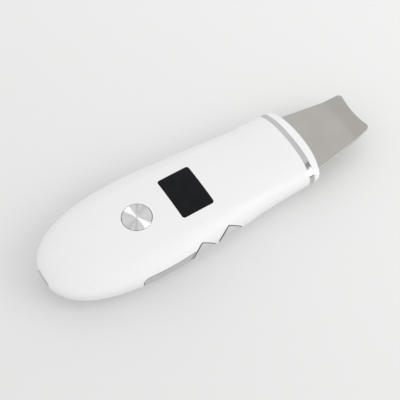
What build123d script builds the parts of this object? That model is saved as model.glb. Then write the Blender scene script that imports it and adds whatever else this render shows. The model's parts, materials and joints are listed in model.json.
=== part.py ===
from build123d import *
import math
import os

# Ultrasonic skin scrubber lying on its back: millimetres, +X towards the spatula, +Z up through the
# display, +Y to the side without keys. The design is laid out from the tail at X = 0 and is shifted on
# export, so that the origin is on the resting surface below the middle of the whole length.

# Overall lengths along X, from the tail
X_LAND = 0.3  # small flat at the tail, around the charging port
X_WIDE = 53.4  # widest and thickest place
X_RING = 129.2  # rear edge of the bright ring
X_COLLAR = 132.0  # rear edge of the front collar
X_FRONT = 136.4  # front edge of the collar
X_SKIN_END = 140.0
BLADE_TIP = 169.7
SHIFT = -84.755  # the middle between the port's flat and the spatula's tip

# Skin of the housing
HALF_WIDTH = 26.1
CROWN_Z = 22.8
BELLY_DIP = 0.5  # the belly is cut flat this far above its lowest line
TAIL_POWER = 2.41  # superellipse power of the tail's outline seen from above
UPPER_POWER = 2.52
LOWER_POWER = 2.3
WIDTHS = ((X_WIDE, HALF_WIDTH), (72, 24.6), (91, 23.2), (110, 21.6), (129, 21.5), (132, 21.3), (138, 20.5))
CROWNS = ((X_WIDE, CROWN_Z), (75, 22.75), (101, 21.75), (129, 20.6), (132, 19.9), (138, 18.6))
BELLIES = ((X_WIDE, -BELLY_DIP), (90, -BELLY_DIP), (110, 1.3), (129, 4.4), (138, 6.0))
WAISTLINES = ((0, 13.7), (X_WIDE, 13.4), (129, 13.0))  # height of the widest line
CREASE_RISE = 0.42  # soft crease along both edges of the top face
CREASE_Y = 17.3
CREASE_SPREAD = 2.6
CREASE_FADE = ((20, 0), (50, 1), (88, 1), (116, 0))
POINTS_AROUND = 48
WALL = 2.0
PARTING_Z = 13.4
SEAM = 0.12  # open line between the two shells
LIP = 1.0  # height of the lower shell's tongue inside the upper shell
GAP = 0.06  # visible joint line around the display
SHELL_EDGE = 0.03  # shells, ring and collar stay this far apart

# Domed, slightly leaning ends of the shells and of the collar
RING_DOME_R = 167.0
RING_LEAN = 4.0
COLLAR_DOME_R = 83.0
COLLAR_LEAN = 6.7

# Display
DISPLAY_X = 73.3
DISPLAY_L, DISPLAY_W = 16.35, 22.85
DISPLAY_R = 1.3
WINDOW_T = 1.5

# Power button
BUTTON_X = 48.0
BUTTON_R = 6.76
BUTTON_GAP = 0.28
BUTTON_PROUD = 0.25
CAP_T = 1.4
FLANGE_BOTTOM, FLANGE_TOP = 19.3, 20.3

# Side keys and hand contact strips
KEY_APEX_XS = {"mode": 67.0, "level": 81.8}
KEY_APEX_Z, KEY_BASE_Z = 17.5, 10.0
KEY_REAR = (-6.3, -3.8, 15.1)  # from the apex: X at the base, then X and Z half way up the bulging flank
KEY_FRONT = (7.5, 3.9, 15.0)
KEY_PROUD = 0.2
KEY_GAP = 0.42
KEY_SET_FORWARD = 0.22  # the gap behind a key is wider than the one in front of it
KEY_FLANGE = 0.35
WEB_PLAY = 0.06  # between a key and the soft sleeve that fills its gap
WEB_DEPTH = 0.1
KEY_STEM_R, KEY_STEM_Z = 1.3, 13.8
STRIP_REAR, STRIP_TOP, STRIP_BOTTOM = 36.0, 15.5, 8.6
STRIP_FRONT = ((63.0, STRIP_TOP), (61.2, 13.0), (60.3, 10.0), (60.3, STRIP_BOTTOM))
STRIP_T = 0.9
FILM_T = 0.2  # black adhesive gasket under a strip, which also fills the gap round it
STRIP_GAP = 0.38
GASKET_PLAY = 0.06
STRIP_SET_IN = 0.1
STRIP_ROUND = 3.0
STUD_X, STUD_Z, STUD_R = 50.0, 11.6, 1.1
STUD_END_Y = 22.8

# Board and the parts on it
BOARD_TOP = 12.0
BOARD_T = 1.2
BOARD_HALF = ((3.6, 4.9), (8, 10.5), (16, 15.2), (24, 17), (96, 17), (100, 13))
BOARD_SCREWS = ((18, 9), (18, -9), (94, 12), (94, -12))
SCREW_R = 1.0
SWITCH_TOP = 15.9
SWITCH_STEM_TOP = 17.2
SIDE_SWITCH_Y = -17.0
SIDE_STEM_END = -18.4
LCD_TOP, LCD_T = 20.0, 1.9
LCD_L, LCD_W = 14.6, 20.4
TRAY_T, TRAY_MARGIN = 1.0, 0.7
CHIP_X, CHIP_SIDE, CHIP_T = 28, 7, 1
CORE_X, CORE_L, CORE_W, CORE_H = 92, 10, 12, 6.5
CAN_X, CAN_Y, CAN_R, CAN_H = 88, 10.2, 3.15, 6

# Charging port
PORT_X = 1.1
PORT_W, PORT_H, PORT_L = 8.94, 3.2, 7.3
PORT_Z = BOARD_TOP + PORT_H / 2
PORT_SLOT_W, PORT_SLOT_H = 9.4, 3.5
PORT_WALL = 0.25
PORT_BACK_T = 0.3
TONGUE_W, TONGUE_T = 6.7, 0.7

# Battery
BATTERY_X, BATTERY_L, BATTERY_W = 56.0, 54.0, 26.0
BATTERY_BOTTOM, BATTERY_TOP = 3.6, 10.0
PAD_L, PAD_W = 40.0, 20.0

# Spatula and its clamp
BLADE_T = 0.8
BLADE_TOP = 12.5
BLADE_BOTTOM = BLADE_TOP - BLADE_T
TANG_X = 104.0
BLADE_HALF = ((TANG_X, 10), (120, 10), (127, 17.4), (135, 17.3), (160.5, 13.35), (BLADE_TIP, 11.8))
BEND_X, BEND_ANGLE, BEND_R = 160.5, 14.0, 9.0
BLADE_EDGE_T = 0.45  # the tip is thinned from below
TIP_SAG = 1.5  # depth of the concave tip edge
TIP_ROUND = 2.3
EDGE_EASE = 0.2  # chamfer along the upper edge of the sides and tip
TANG_HOLE_R = 2.0
PIEZO_X, PIEZO_R, PIEZO_T = 119.0, 7.5, 1.2
CLAMP_X, CLAMP_Y = 108.0, 6.0
CLAMP_PLATE_T = 1.0
GROMMET_FLANGE = 0.8
GROMMET_R = 2.9
CLAMP_SCREW_R = 1.2
SEAL_HALF_W, SEAL_LIP = 18.3, 1.6
COLLAR_WALL = 2.2
WIRE_R = 0.5


def smooth(x, points):
    """Value at x of the curve through the (x, value) points: level at its start, and never overshooting."""
    if x <= points[0][0]:
        return points[0][1]
    steps = [(b[1] - a[1]) / (b[0] - a[0]) for a, b in zip(points, points[1:])]
    inner = [0 if a * b <= 0 else 2 * a * b / (a + b) for a, b in zip(steps, steps[1:])]
    slopes = [0, *inner, steps[-1]]
    if x >= points[-1][0]:
        return points[-1][1] + slopes[-1] * (x - points[-1][0])
    i = max(k for k, point in enumerate(points) if point[0] <= x)
    (x0, y0), (x1, y1) = points[i], points[i + 1]
    span, u = x1 - x0, (x - x0) / (x1 - x0)
    rise = y0 * (1 + 2 * u) * (1 - u) ** 2 + y1 * u * u * (3 - 2 * u)
    return rise + span * (slopes[i] * u * (1 - u) ** 2 + slopes[i + 1] * u * u * (u - 1))


def tail_factor(x, inset):
    """How much of its full width and height the skin has at x: 1 from the widest place forwards."""
    if x >= X_WIDE:
        return 1.0
    u = (X_WIDE - x) / (X_WIDE - inset)
    return (1 - u**TAIL_POWER) ** (1 / TAIL_POWER)


def signed_power(value, power):
    return math.copysign(abs(value) ** power, value)


def section(x, inset):
    """Closed outline of the skin at x, moved inwards by inset."""
    factor = tail_factor(x, inset)
    waist = smooth(x, WAISTLINES)
    width = (smooth(x, WIDTHS) - inset) * factor
    crown = (smooth(x, CROWNS) - waist - inset) * factor
    belly = (waist - smooth(x, BELLIES) - inset) * factor
    crease = CREASE_RISE * smooth(x, CREASE_FADE)
    points = []
    for k in range(POINTS_AROUND):
        turn = 2 * math.pi * k / POINTS_AROUND
        power = 2 / (UPPER_POWER if math.sin(turn) > 0 else LOWER_POWER)
        y = width * signed_power(math.cos(turn), power)
        z = (crown if math.sin(turn) > 0 else belly) * signed_power(math.sin(turn), power)
        if z > 0:
            z += crease * math.exp(-(((abs(y) - CREASE_Y) / CREASE_SPREAD) ** 2))
        points.append((x, y, waist + z))
    knots = [k / POINTS_AROUND for k in range(POINTS_AROUND + 1)]
    return Wire([Edge.make_spline(points, periodic=True, parameters=knots)])


def skin(inset):
    """Solid inside the housing's outer surface moved inwards by inset, open-ended past the collar."""
    start = inset + X_LAND
    tail = [start + (X_WIDE - start) * (1 - math.cos(math.radians(10 * k))) for k in range(10)]
    body = [X_WIDE + (X_SKIN_END - X_WIDE) * k / 9 for k in range(1, 10)]
    return Solid.make_loft([section(x, inset) for x in tail + body])


def head_skin(inset):
    """The head's length of the same solid."""
    start = X_RING - 14
    return Solid.make_loft([section(start + (X_SKIN_END - start) * k / 5, inset) for k in range(6)])


def behind(x, z, dome_r, lean):
    """Everything behind a surface that bulges forwards and leans: x is its foremost place, at height z."""
    return Pos(x, 0, z) * Rot(0, lean, 0) * Pos(-dome_r, 0, 0) * Cylinder(dome_r, 80)


def behind_ring(x):
    return behind(x, smooth(X_RING, CROWNS), RING_DOME_R, RING_LEAN)


def behind_front(x):
    return behind(x, smooth(X_FRONT, CROWNS), COLLAR_DOME_R, COLLAR_LEAN)


def slab(low_z, high_z):
    return Pos(X_WIDE, 0, (low_z + high_z) / 2) * Box(400, 100, high_z - low_z)


def box_between(low, high):
    """Box from its lowest to its highest corner."""
    size = [b - a for a, b in zip(low, high)]
    middle = [(a + b) / 2 for a, b in zip(low, high)]
    return Pos(*middle) * Box(*size)


def upright(x, y, radius, low_z, high_z):
    return Pos(x, y, (low_z + high_z) / 2) * Cylinder(radius, high_z - low_z)


def across(x, z, radius, low_y, high_y):
    """Round bar along Y."""
    return Pos(x, (low_y + high_y) / 2, z) * Rot(90, 0, 0) * Cylinder(radius, high_y - low_y)


def window_prism(margin):
    """Vertical prism with the display's outline, larger by margin all round."""
    corner = max(DISPLAY_R + margin, 0.4)
    outline = RectangleRounded(DISPLAY_L + 2 * margin, DISPLAY_W + 2 * margin, corner)
    return Pos(DISPLAY_X, 0, CROWN_Z - 10) * extrude(outline, 20)


def side_prism(face, margin, side):
    """Prism along Y through one side of the housing, from a face drawn in X and Z, larger by margin."""
    grown = offset(face, margin, kind=Kind.INTERSECTION) if margin else face
    prism = extrude(Plane.XZ * grown, 20 if side < 0 else -20)
    return Pos(0, 10 * side, 0) * prism


def key_prism(name, margin):
    """Prism through the near side: two bulging flanks that meet in a point at the top."""
    apex_x = KEY_APEX_XS[name]
    flanks = []
    for base_x, mid_x, mid_z in (KEY_REAR, KEY_FRONT):
        ends = (apex_x, KEY_APEX_Z), (apex_x + base_x, KEY_BASE_Z)
        flanks.append(ThreePointArc(ends[0], (apex_x + mid_x, mid_z), ends[1]))
    base = Line(flanks[0] @ 1, flanks[1] @ 1)
    return side_prism(make_face(Curve() + [*flanks, base]), margin, -1)


def strip_prism(margin, side):
    """Prism with the outline of a contact strip, whose rear corners are rounded."""
    outline = (STRIP_REAR, STRIP_TOP), *STRIP_FRONT, (STRIP_REAR, STRIP_BOTTOM)
    face = make_face(Polyline(*outline, close=True))
    rear = face.vertices().group_by(Axis.X)[0]
    return side_prism(fillet(rear, STRIP_ROUND), margin, side)


def port_slot(width, height, low_x, high_x):
    """Bar along X with the charging port's rounded section."""
    outline = RectangleRounded(width, height, 0.49 * height)
    return Pos(low_x, 0, PORT_Z) * extrude(Plane.YZ * outline, high_x - low_x)


# Skins that the pieces share
OUTER = skin(0)
LIP_SKIN = skin(WALL - LIP + 0.05)
INNER = skin(WALL)
STRIP_BAND = OUTER - skin(STRIP_T)


def cut_openings(shell):
    """Takes the port, the side keys and the seats and studs of the contact strips out of a shell."""
    shell -= port_slot(PORT_SLOT_W, PORT_SLOT_H, -5, 6)
    for side in (-1, 1):
        shell -= STRIP_BAND & strip_prism(0, side)
        shell -= across(STUD_X, STUD_Z, STUD_R + 0.05, *sorted((20 * side, 30 * side)))
    for name in KEY_APEX_XS:
        shell -= key_prism(name, 0)
    return shell


def upper_shell():
    shell = (OUTER - INNER) & slab(PARTING_Z + SEAM, 60) & behind_ring(X_RING)
    shell -= LIP_SKIN & slab(PARTING_Z, PARTING_Z + LIP + 0.05)  # room for the tongue
    shell -= window_prism(GAP) - skin(WINDOW_T + 0.1)
    shell -= window_prism(-1.6)
    shell -= upright(BUTTON_X, 0, BUTTON_R + BUTTON_GAP, 15, 30)
    return cut_openings(shell)


def lower_shell():
    shell = OUTER & slab(0, PARTING_Z)
    shell += skin(WALL - LIP + 0.1) & slab(PARTING_Z - 1, PARTING_Z + LIP)
    shell = (shell - INNER) & behind_ring(X_RING)
    inside = skin(WALL / 2) & slab(0.5, PARTING_Z)
    for x, y in BOARD_SCREWS:
        shell += upright(x, y, 2.5, -2, BOARD_TOP - BOARD_T) & inside
        shell -= upright(x, y, SCREW_R + 0.02, 4.5, 20)
    for y in (-CLAMP_Y, CLAMP_Y):
        shell += upright(CLAMP_X, y, GROMMET_R, -2, BLADE_BOTTOM - GROMMET_FLANGE) & inside
        shell -= upright(CLAMP_X, y, CLAMP_SCREW_R + 0.02, 5, 20)
    for x in (BATTERY_X - 18, BATTERY_X + 18):
        shell += box_between((x - 0.8, -11, 0.5), (x + 0.8, 11, BATTERY_BOTTOM)) & inside
    return cut_openings(shell)


def head_trim_ring():
    band = head_skin(0.15) - head_skin(WALL + 0.1)
    return (band & behind_ring(X_COLLAR - SHELL_EDGE)) - behind_ring(X_RING + SHELL_EDGE)


def front_collar():
    """Rim with the front wall, and the spigot that carries the ring and reaches into the shells."""
    rim = (head_skin(0) & behind_front(X_FRONT)) - behind_ring(X_COLLAR)
    rim -= head_skin(WALL + 0.5) & behind_front(X_FRONT - COLLAR_WALL)
    spigot = head_skin(WALL + 0.15) - head_skin(WALL + 1.4)
    spigot = (spigot & behind_ring(X_COLLAR + 1)) - behind_ring(X_RING - 5)
    return rim + spigot - seal_block()


def seal_block():
    """Room that the seal fills in the collar's front wall."""
    low = (X_COLLAR - 0.8, -SEAL_HALF_W, BLADE_BOTTOM - SEAL_LIP)
    return box_between(low, (X_FRONT + 2, SEAL_HALF_W, BLADE_TOP + SEAL_LIP))


def blade_seal():
    block = seal_block() & behind_front(X_FRONT - 0.5) & head_skin(WALL / 2)
    return block - behind_front(X_FRONT - 3.0) - spatula_blade()


def blade_side_view():
    """Section of the sheet along its length: flat, then bent up, and thinned towards the tip's edge."""
    tip_top = BLADE_TOP + (BLADE_TIP - BEND_X) * math.tan(math.radians(BEND_ANGLE))
    tip_bottom = tip_top - BLADE_EDGE_T
    top = FilletPolyline((TANG_X, BLADE_TOP), (BEND_X, BLADE_TOP), (BLADE_TIP, tip_top), radius=BEND_R)
    bottom = FilletPolyline((TANG_X, BLADE_BOTTOM), (BEND_X, BLADE_BOTTOM), (BLADE_TIP, tip_bottom),
                            radius=BEND_R + BLADE_T)
    ends = [Line(top @ 1, bottom @ 1), Line(bottom @ 0, top @ 0)]
    return make_face(Curve() + [top, bottom, *ends])


def blade_plan():
    """The sheet's outline from above, with the concave edge at the tip."""
    left = Polyline(*BLADE_HALF)
    right = Polyline(*[(x, -y) for x, y in BLADE_HALF])
    concave = ThreePointArc(left @ 1, (BLADE_TIP - TIP_SAG, 0), right @ 1)
    plan = make_face(Curve() + [left, right, Line(left @ 0, right @ 0), concave])
    return fillet(plan.vertices().group_by(Axis.X)[-1], TIP_ROUND)


def upper_outline(sheet):
    """Upper edges of the sides and tip of the blade, forward of its tang."""
    top_faces = [face for face in sheet.faces() if face.normal_at().Z > 0.9]
    side_faces = [face for face in sheet.faces() if abs(face.normal_at().Z) < 0.5 and face.center().X > X_RING]
    side_edges = [edge for face in side_faces for edge in face.edges()]
    return [edge for face in top_faces for edge in face.edges() if any(map(edge.is_same, side_edges))]


def spatula_blade():
    """Tang, blade and bent tip in one sheet with an eased edge, and two holes for the clamp."""
    sheet = extrude(Plane.XZ * blade_side_view(), 20, both=True) & extrude(blade_plan(), 30)
    sheet = chamfer(upper_outline(sheet), EDGE_EASE)
    for y in (-CLAMP_Y, CLAMP_Y):
        sheet -= upright(CLAMP_X, y, TANG_HOLE_R, 0, 30)
    return sheet


def display_window():
    return window_prism(0) & (skin(0.06) - skin(WINDOW_T))


def lcd_module():
    module = Pos(DISPLAY_X, 0, LCD_TOP - LCD_T / 2) * Box(LCD_L, LCD_W, LCD_T)
    return chamfer(module.edges().group_by(Axis.Z)[-1], 0.2)


def lcd_holder():
    """Tray under the display module, on four legs that stand on the board."""
    tray_top = LCD_TOP - LCD_T
    half_l, half_w = LCD_L / 2 + TRAY_MARGIN, LCD_W / 2 + TRAY_MARGIN
    low = (DISPLAY_X - half_l, -half_w, tray_top - TRAY_T)
    holder = box_between(low, (DISPLAY_X + half_l, half_w, tray_top))
    for x in (DISPLAY_X - half_l + 1, DISPLAY_X + half_l - 1):
        for y in (1 - half_w, half_w - 1):
            holder += box_between((x - 1, y - 1, BOARD_TOP), (x + 1, y + 1, tray_top))
    return holder


def display_flex():
    """Flat cable from the display module's rear edge, round and down to the board."""
    start, fall, end = (DISPLAY_X - LCD_L / 2 - d for d in (0, 3.2, 6.2))
    high, low = LCD_TOP - 1, BOARD_TOP + 0.1
    path = FilletPolyline((start, 0, high), (fall, 0, high), (fall, 0, low), (end, 0, low), radius=1.2)
    return sweep(Plane(origin=path @ 0, z_dir=path % 0) * Rectangle(0.2, 8), path)


def power_button_cap():
    top = CROWN_Z + BUTTON_PROUD
    cap = upright(BUTTON_X, 0, BUTTON_R, top - CAP_T, top)
    return fillet(cap.edges().group_by(Axis.Z)[-1], 0.25)


def power_button_plunger():
    """Carrier glued under the cap: neck, flange behind the shell's wall, and a stem onto the switch."""
    plunger = upright(BUTTON_X, 0, BUTTON_R - 0.4, FLANGE_BOTTOM, CROWN_Z + BUTTON_PROUD - CAP_T)
    plunger += upright(BUTTON_X, 0, BUTTON_R + 1.2, FLANGE_BOTTOM, FLANGE_TOP)
    return plunger + upright(BUTTON_X, 0, 2.2, SWITCH_STEM_TOP, FLANGE_BOTTOM)


def key_centre_x(name):
    return KEY_APEX_XS[name] + 0.4


def side_key(name):
    """Key cap in its hole, a flange behind the wall, and a stem onto its switch."""
    cap = Pos(KEY_SET_FORWARD, 0, 0) * key_prism(name, -KEY_GAP) & (skin(-KEY_PROUD) - skin(WALL + 0.5))
    flange = key_prism(name, KEY_FLANGE) & (skin(WALL + 0.15) - skin(WALL + 0.9))
    flange &= slab(KEY_BASE_Z, KEY_APEX_Z - 0.5)
    stem = across(key_centre_x(name), KEY_STEM_Z, KEY_STEM_R, -40, SIDE_STEM_END) & skin(WALL + 0.3)
    return cap + flange + stem


def key_webs():
    """Black silicone sleeves that fill the gaps round the two side keys."""
    band = skin(WEB_DEPTH) - skin(WALL - 0.1)
    sleeves = []
    for name in KEY_APEX_XS:
        hole = Pos(KEY_SET_FORWARD, 0, 0) * key_prism(name, WEB_PLAY - KEY_GAP)
        sleeves.append(((key_prism(name, -0.02) - hole) & band).solid())
    return Compound(children=sleeves)


def strip_films():
    """Adhesive gasket under and round each strip, with a hole for the stud."""
    band = skin(STRIP_SET_IN + 0.05) - skin(STRIP_T - 0.02)
    room = skin(-1) - skin(STRIP_T - FILM_T)
    films = []
    for side in (-1, 1):
        film = (strip_prism(-0.02, side) & band) - (strip_prism(GASKET_PLAY - STRIP_GAP, side) & room)
        films.append((film - across(STUD_X, STUD_Z, STUD_R + 0.05, *sorted((20 * side, 30 * side)))).solid())
    return Compound(children=films)


def contact_strip(side):
    """Inlaid strip and the stud behind it, which passes through the shell's wall."""
    strip = strip_prism(-STRIP_GAP, side) & (skin(STRIP_SET_IN) - skin(STRIP_T - FILM_T))
    stud = across(STUD_X, STUD_Z, STUD_R, *sorted((STUD_END_Y * side, 30 * side)))
    return strip + (stud & skin(STRIP_T / 2))


def contact_springs():
    """Two flat springs, from the board's edges out to the studs of the contact strips."""
    foot_z = BOARD_TOP + 0.15
    springs = []
    for side in (-1, 1):
        route = (14.0, foot_z), (18.5, foot_z), (20.5, STUD_Z), (STUD_END_Y - 0.2, STUD_Z)
        path = FilletPolyline(*[(STUD_X, side * y, z) for y, z in route], radius=0.4)
        leaf = Plane(origin=path @ 0, z_dir=path % 0, x_dir=(1, 0, 0)) * Rectangle(3, 0.3)
        springs.append(sweep(leaf, path))
    return Compound(children=[s.solid() for s in springs])


def main_board():
    outline = list(BOARD_HALF) + [(x, -y) for x, y in reversed(BOARD_HALF)]
    board = Pos(0, 0, BOARD_TOP - BOARD_T) * extrude(make_face(Polyline(*outline, close=True)), BOARD_T)
    for x, y in BOARD_SCREWS:
        board -= upright(x, y, SCREW_R + 0.1, 0, 30)
    return board


def pan_screw(x, y, seat_z, radius, length):
    head = upright(x, y, 1.9 * radius, seat_z, seat_z + 1.3 * radius)
    head -= Pos(x, y, seat_z + 1.3 * radius) * Box(2.4 * radius, 0.4 * radius, radius)
    head -= Pos(x, y, seat_z + 1.3 * radius) * Box(0.4 * radius, 2.4 * radius, radius)
    return head + upright(x, y, radius, seat_z - length, seat_z)


def board_screws():
    return Compound(children=[pan_screw(x, y, BOARD_TOP, SCREW_R, 6.5).solid() for x, y in BOARD_SCREWS])


def power_switch():
    body = box_between((BUTTON_X - 3, -3, BOARD_TOP), (BUTTON_X + 3, 3, SWITCH_TOP))
    return body - upright(BUTTON_X, 0, 1.8, SWITCH_TOP - 1.6, SWITCH_TOP + 1)


def power_switch_stem():
    return upright(BUTTON_X, 0, 1.75, SWITCH_TOP - 0.9, SWITCH_STEM_TOP)


def side_switch(name):
    x = key_centre_x(name)
    body = box_between((x - 2.2, SIDE_SWITCH_Y, BOARD_TOP), (x + 2.2, SIDE_SWITCH_Y + 3.8, BOARD_TOP + 3))
    return body - across(x, KEY_STEM_Z, 0.95, SIDE_SWITCH_Y - 1, SIDE_SWITCH_Y + 1.6)


def side_switch_stem(name):
    return across(key_centre_x(name), KEY_STEM_Z, 0.9, SIDE_STEM_END, SIDE_SWITCH_Y + 0.9)


def controller_chip():
    chip = Pos(CHIP_X, 0, BOARD_TOP + CHIP_T / 2) * Box(CHIP_SIDE, CHIP_SIDE, CHIP_T)
    return chamfer(chip.edges().group_by(Axis.Z)[-1], 0.15)


def step_up_transformer():
    """Core with its two winding windows."""
    core = Pos(CORE_X, 0, BOARD_TOP + CORE_H / 2) * Box(CORE_L, CORE_W, CORE_H)
    for y in (-0.3 * CORE_W, 0.3 * CORE_W):
        core -= Pos(CORE_X, y, BOARD_TOP + CORE_H / 2) * Box(CORE_L + 1, 0.17 * CORE_W, 0.54 * CORE_H)
    return core


def filter_capacitor():
    can = upright(CAN_X, CAN_Y, CAN_R, BOARD_TOP, BOARD_TOP + CAN_H)
    return fillet(can.edges().group_by(Axis.Z)[-1], 0.4)


def usb_c_port():
    shell = port_slot(PORT_W, PORT_H, PORT_X, PORT_X + PORT_L)
    inner = PORT_W - 2 * PORT_WALL, PORT_H - 2 * PORT_WALL
    return shell - port_slot(*inner, PORT_X - 1, PORT_X + PORT_L - PORT_BACK_T)


def port_tongue():
    """Insulating base at the back of the port and the contact tongue on it."""
    back = PORT_X + PORT_L - PORT_BACK_T
    base = port_slot(PORT_W - 2 * PORT_WALL - 0.1, PORT_H - 2 * PORT_WALL - 0.1, back - 1.5, back)
    low = (PORT_X + 0.9, -TONGUE_W / 2, PORT_Z - TONGUE_T / 2)
    return base + box_between(low, (back - 1.4, TONGUE_W / 2, PORT_Z + TONGUE_T / 2))


def battery_cell():
    low = (BATTERY_X - BATTERY_L / 2, -BATTERY_W / 2, BATTERY_BOTTOM)
    cell = box_between(low, (BATTERY_X + BATTERY_L / 2, BATTERY_W / 2, BATTERY_TOP))
    return fillet(cell.edges().filter_by(Axis.X), 1.8)


def battery_foam_pad():
    low = (BATTERY_X - PAD_L / 2, -PAD_W / 2, BATTERY_TOP)
    return box_between(low, (BATTERY_X + PAD_L / 2, PAD_W / 2, BOARD_TOP - BOARD_T))


def wire(points, radius):
    """Insulated wire through the points, with round turns."""
    path = FilletPolyline(*points, radius=radius)
    return sweep(Plane(origin=path @ 0, z_dir=path % 0) * Circle(WIRE_R), path).solid()


def battery_leads():
    """From the cell's front end up to the underside of the board."""
    start = BATTERY_X + BATTERY_L / 2
    rise, middle_z, board_bottom = start + 3.2, 7.0, BOARD_TOP - BOARD_T
    leads = []
    for y in (-2.5, 2.5):
        leads.append(wire([(start, y, middle_z), (rise, y, middle_z), (rise, y, board_bottom)], 1.4))
    return Compound(children=leads)


def transducer_leads():
    """One lead over the clamp to the upper piezo disc, one below the tang to the lower disc."""
    over, under = BLADE_TOP + 4.6, BLADE_BOTTOM - 3.4
    upper_x, lower_x = 98.5, 97.5
    upper_end, lower_end = (PIEZO_X, 0, BLADE_TOP + PIEZO_T), (PIEZO_X, 0, BLADE_BOTTOM - PIEZO_T)
    upper = [(upper_x, 0, BOARD_TOP), (upper_x, 0, over), (PIEZO_X, 0, over), upper_end]
    lower = [(lower_x, 0, BOARD_TOP - BOARD_T), (lower_x, 0, under), (PIEZO_X, 0, under), lower_end]
    return Compound(children=[wire(upper, 1.4), wire(lower, 1.0)])


def piezo_disc(low_z):
    return upright(PIEZO_X, 0, PIEZO_R, low_z, low_z + PIEZO_T)


def isolation_grommets():
    """Soft flanged bushes in the tang's two holes."""
    low, high = BLADE_BOTTOM - GROMMET_FLANGE, BLADE_TOP + GROMMET_FLANGE
    grommets = []
    for y in (-CLAMP_Y, CLAMP_Y):
        bush = upright(CLAMP_X, y, 1.98, low, high)
        bush += upright(CLAMP_X, y, GROMMET_R, low, BLADE_BOTTOM)
        bush += upright(CLAMP_X, y, GROMMET_R, BLADE_TOP, high)
        grommets.append((bush - upright(CLAMP_X, y, CLAMP_SCREW_R + 0.05, 0, 30)).solid())
    return Compound(children=grommets)


def blade_clamp_plate():
    low = BLADE_TOP + GROMMET_FLANGE
    plate = box_between((CLAMP_X - 3, -9, low), (CLAMP_X + 3, 9, low + CLAMP_PLATE_T))
    for y in (-CLAMP_Y, CLAMP_Y):
        plate -= upright(CLAMP_X, y, CLAMP_SCREW_R + 0.1, 0, 30)
    return fillet(plate.edges().filter_by(Axis.Z).group_by(Axis.Y)[0], 1.5)


def clamp_screws():
    seat = BLADE_TOP + GROMMET_FLANGE + CLAMP_PLATE_T
    screws = [pan_screw(CLAMP_X, y, seat, CLAMP_SCREW_R, 8.0).solid() for y in (-CLAMP_Y, CLAMP_Y)]
    return Compound(children=screws)


NODES = {
    "upper_shell": upper_shell,
    "lower_shell": lower_shell,
    "head_trim_ring": head_trim_ring,
    "front_collar": front_collar,
    "blade_seal": blade_seal,
    "spatula_blade": spatula_blade,
    "display_window": display_window,
    "lcd_module": lcd_module,
    "lcd_holder": lcd_holder,
    "display_flex": display_flex,
    "power_button_cap": power_button_cap,
    "power_button_plunger": power_button_plunger,
    "power_switch": power_switch,
    "power_switch_stem": power_switch_stem,
    "mode_key": lambda: side_key("mode"),
    "mode_switch": lambda: side_switch("mode"),
    "mode_switch_stem": lambda: side_switch_stem("mode"),
    "level_key": lambda: side_key("level"),
    "level_switch": lambda: side_switch("level"),
    "level_switch_stem": lambda: side_switch_stem("level"),
    "left_contact_strip": lambda: contact_strip(-1),
    "right_contact_strip": lambda: contact_strip(1),
    "strip_films": strip_films,
    "key_webs": key_webs,
    "strip_contact_springs": contact_springs,
    "main_board": main_board,
    "board_screws": board_screws,
    "controller_chip": controller_chip,
    "step_up_transformer": step_up_transformer,
    "filter_capacitor": filter_capacitor,
    "usb_c_port": usb_c_port,
    "port_tongue": port_tongue,
    "battery_cell": battery_cell,
    "battery_foam_pad": battery_foam_pad,
    "battery_leads": battery_leads,
    "transducer_leads": transducer_leads,
    "piezo_disc_upper": lambda: piezo_disc(BLADE_TOP),
    "piezo_disc_lower": lambda: piezo_disc(BLADE_BOTTOM - PIEZO_T),
    "isolation_grommets": isolation_grommets,
    "blade_clamp_plate": blade_clamp_plate,
    "clamp_screws": clamp_screws,
}

os.makedirs("parts", exist_ok=True)
for node, make in NODES.items():
    piece = Pos(SHIFT, 0, 0) * make()
    export_step(piece, f"parts/{node}.step")
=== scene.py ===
import json
import math

import bmesh
import bpy
from mathutils import Matrix, Vector


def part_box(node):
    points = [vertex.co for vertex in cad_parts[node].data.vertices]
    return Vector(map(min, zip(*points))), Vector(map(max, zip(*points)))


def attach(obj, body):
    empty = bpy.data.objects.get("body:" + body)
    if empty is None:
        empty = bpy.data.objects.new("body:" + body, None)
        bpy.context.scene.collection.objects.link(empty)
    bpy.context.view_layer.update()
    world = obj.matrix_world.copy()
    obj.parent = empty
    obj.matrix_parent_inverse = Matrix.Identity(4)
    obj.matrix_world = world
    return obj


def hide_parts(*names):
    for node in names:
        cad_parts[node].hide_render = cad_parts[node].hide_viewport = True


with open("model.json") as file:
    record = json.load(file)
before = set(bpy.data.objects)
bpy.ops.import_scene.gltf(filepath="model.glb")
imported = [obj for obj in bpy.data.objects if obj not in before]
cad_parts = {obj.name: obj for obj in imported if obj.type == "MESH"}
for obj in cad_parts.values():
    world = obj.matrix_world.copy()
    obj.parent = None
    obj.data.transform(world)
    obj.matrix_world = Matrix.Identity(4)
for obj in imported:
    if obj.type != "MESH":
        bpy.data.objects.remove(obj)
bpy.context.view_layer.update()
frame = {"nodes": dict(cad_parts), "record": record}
NODES = frame["nodes"]
MM = 0.001


# Materials. Every texture runs in the object's own coordinates, in metres, so scales are per metre.
NOISE_LOW, NOISE_HIGH = 0.3, 0.7  # most of a noise's values lie between these
SPUN_ROUGHNESS, SPUN_SMOOTHEST, SPUN_ROUGHEST = 0.36, 0.34, 0.38
QUARTER_TURN = 0.25
GLASS_BLACK = (0.010, 0.0105, 0.012)
GLASS_DARK, GLASS_LIGHT = (0.009, 0.0095, 0.011), (0.012, 0.0125, 0.014)


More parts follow.
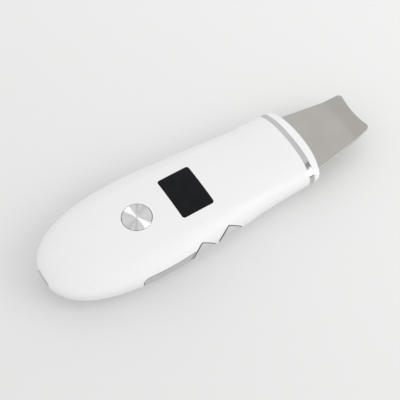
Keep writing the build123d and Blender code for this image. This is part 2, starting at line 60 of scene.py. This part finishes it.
class Surface:
    """A node material around one Principled shader, with helpers for its textures."""

    def __init__(self, name, colour, roughness, metallic=0.0, **sockets):
        self.material = bpy.data.materials.new(name)
        self.material.use_nodes = True
        self.tree = self.material.node_tree
        self.shader = self.tree.nodes["Principled BSDF"]
        self.set("Base Color", (*colour, 1.0))
        self.set("Roughness", roughness)
        self.set("Metallic", metallic)
        for socket, value in sockets.items():
            self.set(socket.replace("_", " "), value)
        self.bump = None

    def set(self, socket, value):
        self.shader.inputs[socket].default_value = value

    def node(self, kind, **values):
        made = self.tree.nodes.new(kind)
        for key, value in values.items():
            if key in made.inputs:
                made.inputs[key].default_value = value
            else:
                setattr(made, key, value)
        return made

    def link(self, output, target):
        self.tree.links.new(output, target)

    def noise(self, scale, detail=2.0, stretch=(1, 1, 1), roughness=0.5):
        """Noise of scale features a metre, stretched along the axes."""
        where = self.node("ShaderNodeTexCoord")
        mapping = self.node("ShaderNodeMapping")
        mapping.inputs["Scale"].default_value = stretch
        texture = self.node("ShaderNodeTexNoise", Scale=scale, Detail=detail, Roughness=roughness)
        self.link(where.outputs["Object"], mapping.inputs["Vector"])
        self.link(mapping.outputs["Vector"], texture.inputs["Vector"])
        return texture.outputs["Fac"]

    def between(self, value, low, high):
        """value, from its middle range, spread between low and high."""
        spread = self.node("ShaderNodeMapRange")
        limits = {"From Min": NOISE_LOW, "From Max": NOISE_HIGH, "To Min": low, "To Max": high}
        for key, number in limits.items():
            spread.inputs[key].default_value = number
        self.link(value, spread.inputs["Value"])
        return spread.outputs["Result"]

    def vary_roughness(self, value, low, high):
        self.link(self.between(value, low, high), self.shader.inputs["Roughness"])
        return self

    def vary_colour(self, value, dark, light):
        """Base colour between two close shades."""
        mix = self.node("ShaderNodeMix", data_type="RGBA")
        mix.inputs[6].default_value = (*dark, 1.0)
        mix.inputs[7].default_value = (*light, 1.0)
        self.link(self.between(value, 0.0, 1.0), mix.inputs[0])
        self.link(mix.outputs[2], self.shader.inputs["Base Color"])
        return self

    def add_bump(self, value, depth):
        """Relief of the given depth in metres, on top of any relief added before."""
        bump = self.node("ShaderNodeBump", Strength=1.0, Distance=depth)
        self.link(value, bump.inputs["Height"])
        if self.bump:
            self.link(self.bump, bump.inputs["Normal"])
        self.bump = bump.outputs["Normal"]
        self.link(self.bump, self.shader.inputs["Normal"])
        return self


def moulded_gloss(name, colour, low, high):
    """Glossy moulded plastic: the faintest orange peel and a slightly uneven polish."""
    surface = Surface(name, colour, low, Specular_IOR_Level=0.35)
    surface.vary_colour(surface.noise(12, 0), [0.998 * c for c in colour], colour)
    surface.vary_roughness(surface.noise(60, 2), low, high)
    return surface.add_bump(surface.noise(900, 0), 1.5e-7).material


def moulded_matt(name, colour, roughness=0.5):
    """Plain moulded plastic with a fine spark-eroded grain."""
    surface = Surface(name, colour, roughness)
    surface.vary_colour(surface.noise(300, 3), [0.9 * c for c in colour], colour)
    surface.vary_roughness(surface.noise(1500, 3), roughness - 0.06, roughness + 0.06)
    return surface.add_bump(surface.noise(6000, 2), 1e-5).material


def plated(name, colour, low, high):
    """Plated metal: thin haze, faint wiping marks and a little waviness of the plastic below."""
    surface = Surface(name, colour, low, 1.0)
    surface.vary_colour(surface.noise(150, 3), [0.95 * c for c in colour], colour)
    surface.vary_roughness(surface.noise(700, 5, (1, 1, 3)), low, high)
    surface.add_bump(surface.noise(350, 2), 4e-6)
    return surface.material


def sheet_steel(name, colour, low, high, stretch):
    """Satin steel sheet: grinding lines stretched along one direction, and slow clouds in the polish."""
    surface = Surface(name, colour, low, 1.0)
    lines = surface.noise(5200, 3, stretch, 0.6)
    surface.vary_colour(surface.noise(90, 4), [0.95 * c for c in colour], colour)
    surface.vary_roughness(lines, low, high)
    surface.add_bump(lines, 1.5e-6)
    return surface.add_bump(surface.noise(60, 2), 1.2e-5).material


def spun_metal(name, colour):
    """Metal turned on a lathe: the marks run round the Z axis through the middle of the piece."""
    surface = Surface(name, colour, SPUN_ROUGHNESS, 1.0, Anisotropic=1.0, Anisotropic_Rotation=QUARTER_TURN)
    tangent = surface.node("ShaderNodeTangent", direction_type="RADIAL", axis="Z")
    surface.link(tangent.outputs["Tangent"], surface.shader.inputs["Tangent"])
    surface.vary_colour(surface.noise(2500, 3), [0.94 * c for c in colour], colour)
    surface.vary_roughness(surface.noise(1800, 4), SPUN_SMOOTHEST, SPUN_ROUGHEST)
    return surface.material


def black_glass(name):
    """Polished window, printed black behind, with a trace of dust and wiping."""
    surface = Surface(name, GLASS_BLACK, 0.04, Specular_IOR_Level=0.06)
    surface.vary_colour(surface.noise(200, 3), GLASS_DARK, GLASS_LIGHT)
    surface.vary_roughness(surface.noise(240, 5), 0.03, 0.09)
    return surface.add_bump(surface.noise(50, 1), 2e-6).material


def soft_rubber(name, colour):
    surface = Surface(name, colour, 0.7)
    surface.vary_colour(surface.noise(500, 3), [0.9 * c for c in colour], colour)
    surface.vary_roughness(surface.noise(1200, 3), 0.62, 0.8)
    return surface.add_bump(surface.noise(3000, 3), 2e-5).material


def foam(name, colour):
    surface = Surface(name, colour, 0.9)
    surface.vary_colour(surface.noise(2500, 2), [0.6 * c for c in colour], colour)
    return surface.add_bump(surface.noise(2500, 2), 2e-4).material


def base_colours():
    """The record's base colour for each material slot."""
    return {m["slot"]: m["base_color"][:3] for m in frame["record"]["materials"]}


def make_materials():
    """One procedural material for each slot of the record."""
    base = base_colours()
    made = {
        "shell_white": moulded_gloss("shell_white", (0.83, 0.832, 0.835), 0.26, 0.30),
        "collar_white": moulded_gloss("collar_white", (0.84, 0.842, 0.845), 0.26, 0.30),
        "ring_chrome": plated("ring_chrome", (0.57, 0.57, 0.57), 0.06, 0.14),
        "key_silver": plated("key_silver", (0.76, 0.76, 0.77), 0.14, 0.24),
        "strip_silver": plated("strip_silver", (0.64, 0.64, 0.65), 0.14, 0.24),
        "blade_steel": sheet_steel("blade_steel", (0.485, 0.467, 0.443), 0.30, 0.42, (0.04, 1, 1)),
        "button_aluminium": spun_metal("button_aluminium", (0.66, 0.66, 0.67)),
        "window_black": black_glass("window_black"),
        "lcd_glass": black_glass("lcd_glass"),
        "seal_silicone": soft_rubber("seal_silicone", base["seal_silicone"]),
        "web_black": soft_rubber("web_black", base["web_black"]),
        "foam_grey": foam("foam_grey", base["foam_grey"]),
        "cell_wrap": sheet_steel("cell_wrap", base["cell_wrap"], 0.35, 0.5, (1, 1, 1)),
        "port_steel": sheet_steel("port_steel", base["port_steel"], 0.25, 0.35, (1, 0.1, 1)),
        "screw_steel": sheet_steel("screw_steel", base["screw_steel"], 0.25, 0.35, (1, 1, 1)),
        "clamp_steel": sheet_steel("clamp_steel", base["clamp_steel"], 0.3, 0.42, (0.1, 1, 1)),
        "can_aluminium": sheet_steel("can_aluminium", base["can_aluminium"], 0.3, 0.4, (1, 1, 0.1)),
        "spring_bronze": sheet_steel("spring_bronze", base["spring_bronze"], 0.25, 0.35, (1, 0.1, 1)),
    }
    for slot, colour in base.items():
        if slot not in made:
            made[slot] = moulded_matt(slot, colour)
    return made


def dress_nodes(materials):
    """Gives every CAD node its slot's material."""
    for row in frame["record"]["subparts"]:
        mesh = NODES[row["node"]].data
        mesh.materials.clear()
        mesh.materials.append(materials[row["material_slot"]])


# Turned button
CHAMFER = 0.3 * MM
DISH_DEPTH = 0.12 * MM
GROOVES = 22
POINTS_PER_GROOVE = 8
GROOVE_HALF_DEPTH = 0.003 * MM
FOOT_EASE = 0.1 * MM
RIM_LAND = 0.1 * MM  # flat rim inside the chamfer
FACE_SET_IN = 0.15 * MM
FACE_SET_DOWN = 0.03 * MM
TURN_STEPS = 160
SHARP_ANGLE = math.radians(35)


def lathe(name, profile, middle):
    """Solid of revolution about the Z axis through middle. The profile's points are (radius, height)."""
    turned = bmesh.new()
    rings = []
    for radius, height in profile:
        if radius == 0:
            rings.append([turned.verts.new((0, 0, height))])
            continue
        turns = [2 * math.pi * k / TURN_STEPS for k in range(TURN_STEPS)]
        points = [(radius * math.cos(t), radius * math.sin(t), height) for t in turns]
        rings.append([turned.verts.new(point) for point in points])
    for low, high in zip(rings, rings[1:]):
        for k in range(TURN_STEPS):
            corners = [low[k % len(low)], low[(k + 1) % len(low)]]
            corners += [high[(k + 1) % len(high)], high[k % len(high)]]
            turned.faces.new(list(dict.fromkeys(corners)))
    bmesh.ops.recalc_face_normals(turned, faces=turned.faces)
    mesh = bpy.data.meshes.new(name)
    turned.to_mesh(mesh)
    turned.free()
    mesh.polygons.foreach_set("use_smooth", [True] * len(mesh.polygons))
    mesh.set_sharp_from_angle(angle=SHARP_ANGLE)
    made = bpy.data.objects.new(name, mesh)
    made.location = middle
    bpy.context.scene.collection.objects.link(made)
    return made


def turned_face(radius, height):
    """Profile of a shallow dish with fine sinusoidal grooves, from its edge to its middle."""
    points = []
    count = GROOVES * POINTS_PER_GROOVE
    for k in range(count, 0, -1):
        share = k / count
        groove = GROOVE_HALF_DEPTH * math.cos(2 * math.pi * GROOVES * share)
        dish = height - DISH_DEPTH * (1 - share**2)
        points.append((radius * share, dish - GROOVE_HALF_DEPTH + groove))
    return points + [(0, height - DISH_DEPTH)]


def button_disc(materials):
    """The metal disc on the button: side, chamfer, and the dished, turned face."""
    low, high = (Vector(corner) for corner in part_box("power_button_cap"))
    radius, height = (high.x - low.x) / 2, high.z - low.z
    edge = radius - CHAMFER
    profile = [(0, 0), (radius - FOOT_EASE, 0), (radius, FOOT_EASE), (radius, height - CHAMFER)]
    profile += [(edge, height), (edge - RIM_LAND, height)]
    profile += turned_face(edge - FACE_SET_IN, height - FACE_SET_DOWN)
    disc = lathe("button_disc", profile, ((low.x + high.x) / 2, (low.y + high.y) / 2, low.z))
    disc.data.materials.append(materials["button_aluminium"])
    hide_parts("power_button_cap")
    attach(disc, "power_button")
    return disc


# Studio: floor, lights and camera
# Floor colour: a painted light gradient, with painted shade on one side of the floor and painted light on
# the other, not the paper's own tone
FLOOR_PAINTED_LIGHT_TOWARDS = (0.94, 0.34, 0.0)
FLOOR_PAINTED_LIGHT_FADE = 0.22
FLOOR_PAINTED_SHADE = (0.755, 0.755, 0.752)
FLOOR_PAINTED_LIGHT = (0.85, 0.856, 0.847)
FLOOR_HALF_WIDTH = 3.0
FLOOR_CELLS = 24


def floor_material():
    """Pale paper whose colour holds a painted light gradient: painted shade on one side rising slowly to
    painted light on the other, along one direction.
    """
    surface = Surface("floor_paper", (0.80, 0.80, 0.795), 0.6, Specular_IOR_Level=0.2)
    where = surface.node("ShaderNodeTexCoord")
    along = surface.node("ShaderNodeVectorMath", operation="DOT_PRODUCT")
    surface.link(where.outputs["Object"], along.inputs[0])
    along.inputs[1].default_value = FLOOR_PAINTED_LIGHT_TOWARDS
    # Painted light gradient: the floor colour goes from painted shade to painted light along the chosen
    # direction
    painted_light_rise = surface.node("ShaderNodeMapRange", interpolation_type="SMOOTHSTEP")
    painted_light_rise.inputs["From Min"].default_value = -FLOOR_PAINTED_LIGHT_FADE
    painted_light_rise.inputs["From Max"].default_value = FLOOR_PAINTED_LIGHT_FADE
    surface.link(along.outputs["Value"], painted_light_rise.inputs["Value"])
    mix = surface.node("ShaderNodeMix", data_type="RGBA")
    mix.inputs[6].default_value = (*FLOOR_PAINTED_SHADE, 1.0)
    mix.inputs[7].default_value = (*FLOOR_PAINTED_LIGHT, 1.0)
    surface.link(painted_light_rise.outputs["Result"], mix.inputs[0])
    surface.link(mix.outputs[2], surface.shader.inputs["Base Color"])
    surface.vary_roughness(surface.noise(500, 3), 0.55, 0.65)
    return surface.add_bump(surface.noise(800, 3), 1e-5).material


def make_floor():
    """Wide flat sheet at the height that the object rests on."""
    mesh = bpy.data.meshes.new("floor")
    grid = bmesh.new()
    bmesh.ops.create_grid(grid, x_segments=FLOOR_CELLS, y_segments=FLOOR_CELLS, size=FLOOR_HALF_WIDTH)
    grid.to_mesh(mesh)
    grid.free()
    floor = bpy.data.objects.new("floor", mesh)
    mesh.materials.append(floor_material())
    bpy.context.scene.collection.objects.link(floor)


def area_light(name, place, size, power, colour=(1, 1, 1), only=None):
    """Soft box aimed at the object, or one that lights a single piece only."""
    light = bpy.data.lights.new(name, "AREA")
    light.shape = "RECTANGLE"
    light.size, light.size_y = size
    light.energy = power
    light.color = colour
    lamp = bpy.data.objects.new(name, light)
    lamp.location = place
    lamp.rotation_euler = (-Vector(place)).to_track_quat("-Z", "Y").to_euler()
    bpy.context.scene.collection.objects.link(lamp)
    if only:
        lit = bpy.data.collections.new(name + "_lights_only")
        lit.objects.link(only)
        lamp.light_linking.receiver_collection = lit


class Sky:
    """The studio round the object: an even pale dome, with soft darker or lighter patches by direction."""

    def __init__(self, strength):
        self.world = bpy.data.worlds.new("studio")
        self.world.use_nodes = True
        self.tree = self.world.node_tree
        where = self.tree.nodes.new("ShaderNodeTexCoord")
        self.direction = where.outputs["Generated"]
        self.strength = self.value("ADD", strength, 0.0)
        bpy.context.scene.world = self.world

    def value(self, operation, first, second):
        made = self.tree.nodes.new("ShaderNodeMath")
        made.operation = operation
        for socket, given in zip(made.inputs, (first, second)):
            if isinstance(given, float):
                socket.default_value = given
            else:
                self.tree.links.new(given, socket)
        return made.outputs[0]

    def nearness(self, towards, inner, outer):
        """1 within the inner angle of a direction, falling softly to 0 at the outer angle, in degrees."""
        dot = self.tree.nodes.new("ShaderNodeVectorMath")
        dot.operation = "DOT_PRODUCT"
        self.tree.links.new(self.direction, dot.inputs[0])
        dot.inputs[1].default_value = Vector(towards).normalized()
        ramp = self.tree.nodes.new("ShaderNodeMapRange")
        ramp.interpolation_type = "SMOOTHSTEP"
        ramp.inputs["From Min"].default_value = math.cos(math.radians(outer))
        ramp.inputs["From Max"].default_value = math.cos(math.radians(inner))
        self.tree.links.new(dot.outputs["Value"], ramp.inputs["Value"])
        return ramp.outputs["Result"]

    def add(self, towards, inner, outer, amount):
        lift = self.value("MULTIPLY", self.nearness(towards, inner, outer), amount)
        self.strength = self.value("ADD", self.strength, lift)

    def finish(self, backdrop):
        """Lights the scene with the sky, and shows the camera a plain backdrop instead of its patches."""
        light = self.tree.nodes["Background"]
        self.tree.links.new(self.strength, light.inputs["Strength"])
        light.inputs["Color"].default_value = (1.0, 1.0, 1.0, 1.0)
        plain = self.tree.nodes.new("ShaderNodeBackground")
        plain.inputs["Color"].default_value = (1.0, 1.0, 1.0, 1.0)
        plain.inputs["Strength"].default_value = backdrop
        seen = self.tree.nodes.new("ShaderNodeLightPath")
        choice = self.tree.nodes.new("ShaderNodeMixShader")
        self.tree.links.new(seen.outputs["Is Camera Ray"], choice.inputs[0])
        self.tree.links.new(light.outputs[0], choice.inputs[1])
        self.tree.links.new(plain.outputs[0], choice.inputs[2])
        self.tree.links.new(choice.outputs[0], self.tree.nodes["World Output"].inputs["Surface"])


SKY_STRENGTH = 0.96
BACKDROP_STRENGTH = 0.95
# Each patch: direction, inner and outer angle in degrees, change of the sky's strength
SKY_PATCHES = (
    ((0.30, -0.70, 0.08), 8, 22, -0.50),
    ((0.45, -0.85, 0.45), 15, 60, 0.14),
    ((-0.35, 0.45, 0.90), 10, 32, -0.20),
    ((-0.28, -0.37, 0.885), 5, 15, -0.60),
    ((0.64, -0.20, 0.74), 4, 10, -0.60),
)
KEY_PLACE, KEY_SIZE, KEY_POWER = (0.80, -0.88, 0.84), (1.0, 0.8), 4.4
KEY_COLOUR = (1.0, 0.995, 0.985)
# Lamps that light the button's disc alone, which no real lamp does: name, place, size and power in watts
DISC_LAMPS = (
    ("disc_card", (0.517, -0.515, 0.848), (0.48, 0.48), 11.0),
    ("disc_fill", (-0.42, 0.57, 0.705), (0.8, 0.8), 1.3),
    ("disc_streak_0", (-0.095, -0.468, 0.878), (0.01, 0.3), 0.55),
    ("disc_streak_1", (-0.47, -0.17, 0.86), (0.01, 0.3), 0.55),
)


def make_lights(disc):
    """The studio dome, one soft box, and the lamps for the button's disc."""
    sky = Sky(SKY_STRENGTH)
    for patch in SKY_PATCHES:
        sky.add(*patch)
    sky.finish(BACKDROP_STRENGTH)
    area_light("key", KEY_PLACE, KEY_SIZE, KEY_POWER, KEY_COLOUR)
    for name, place, size, power in DISC_LAMPS:
        area_light(name, place, size, power, only=disc)


# Camera: height angle, turn from the object's axis, roll, distance and the point it looks at
VIEW_ELEVATION = math.radians(57.65)
VIEW_TURN = math.radians(32.99)
VIEW_ROLL = math.radians(0.46)
VIEW_DISTANCE = 0.4765
VIEW_LENS = 94.5
SENSOR_WIDTH = 36.0
NEAREST_SEEN = 0.01
LOOK_AT = Vector((-0.00578, -0.0033, 0.015))


def make_camera():
    data = bpy.data.cameras.new("view")
    data.lens = VIEW_LENS
    data.sensor_width = SENSOR_WIDTH
    data.clip_start = NEAREST_SEEN
    right = Vector((math.cos(VIEW_TURN), -math.sin(VIEW_TURN), 0))
    ahead = Vector((math.sin(VIEW_TURN), math.cos(VIEW_TURN), 0))
    forward = ahead * math.cos(VIEW_ELEVATION) - Vector((0, 0, math.sin(VIEW_ELEVATION)))
    up = ahead * math.sin(VIEW_ELEVATION) + Vector((0, 0, math.cos(VIEW_ELEVATION)))
    rolled_right = right * math.cos(VIEW_ROLL) + up * math.sin(VIEW_ROLL)
    rolled_up = up * math.cos(VIEW_ROLL) - right * math.sin(VIEW_ROLL)
    place = LOOK_AT - forward * VIEW_DISTANCE
    turn = Matrix((rolled_right, rolled_up, -forward)).transposed().to_4x4()
    camera = bpy.data.objects.new("view", data)
    camera.matrix_world = Matrix.Translation(place) @ turn
    bpy.context.scene.collection.objects.link(camera)
    bpy.context.scene.camera = camera


MATERIALS = make_materials()
dress_nodes(MATERIALS)
DISC = button_disc(MATERIALS)
make_floor()
make_lights(DISC)
make_camera()
bpy.context.scene.view_settings.view_transform = "Standard"
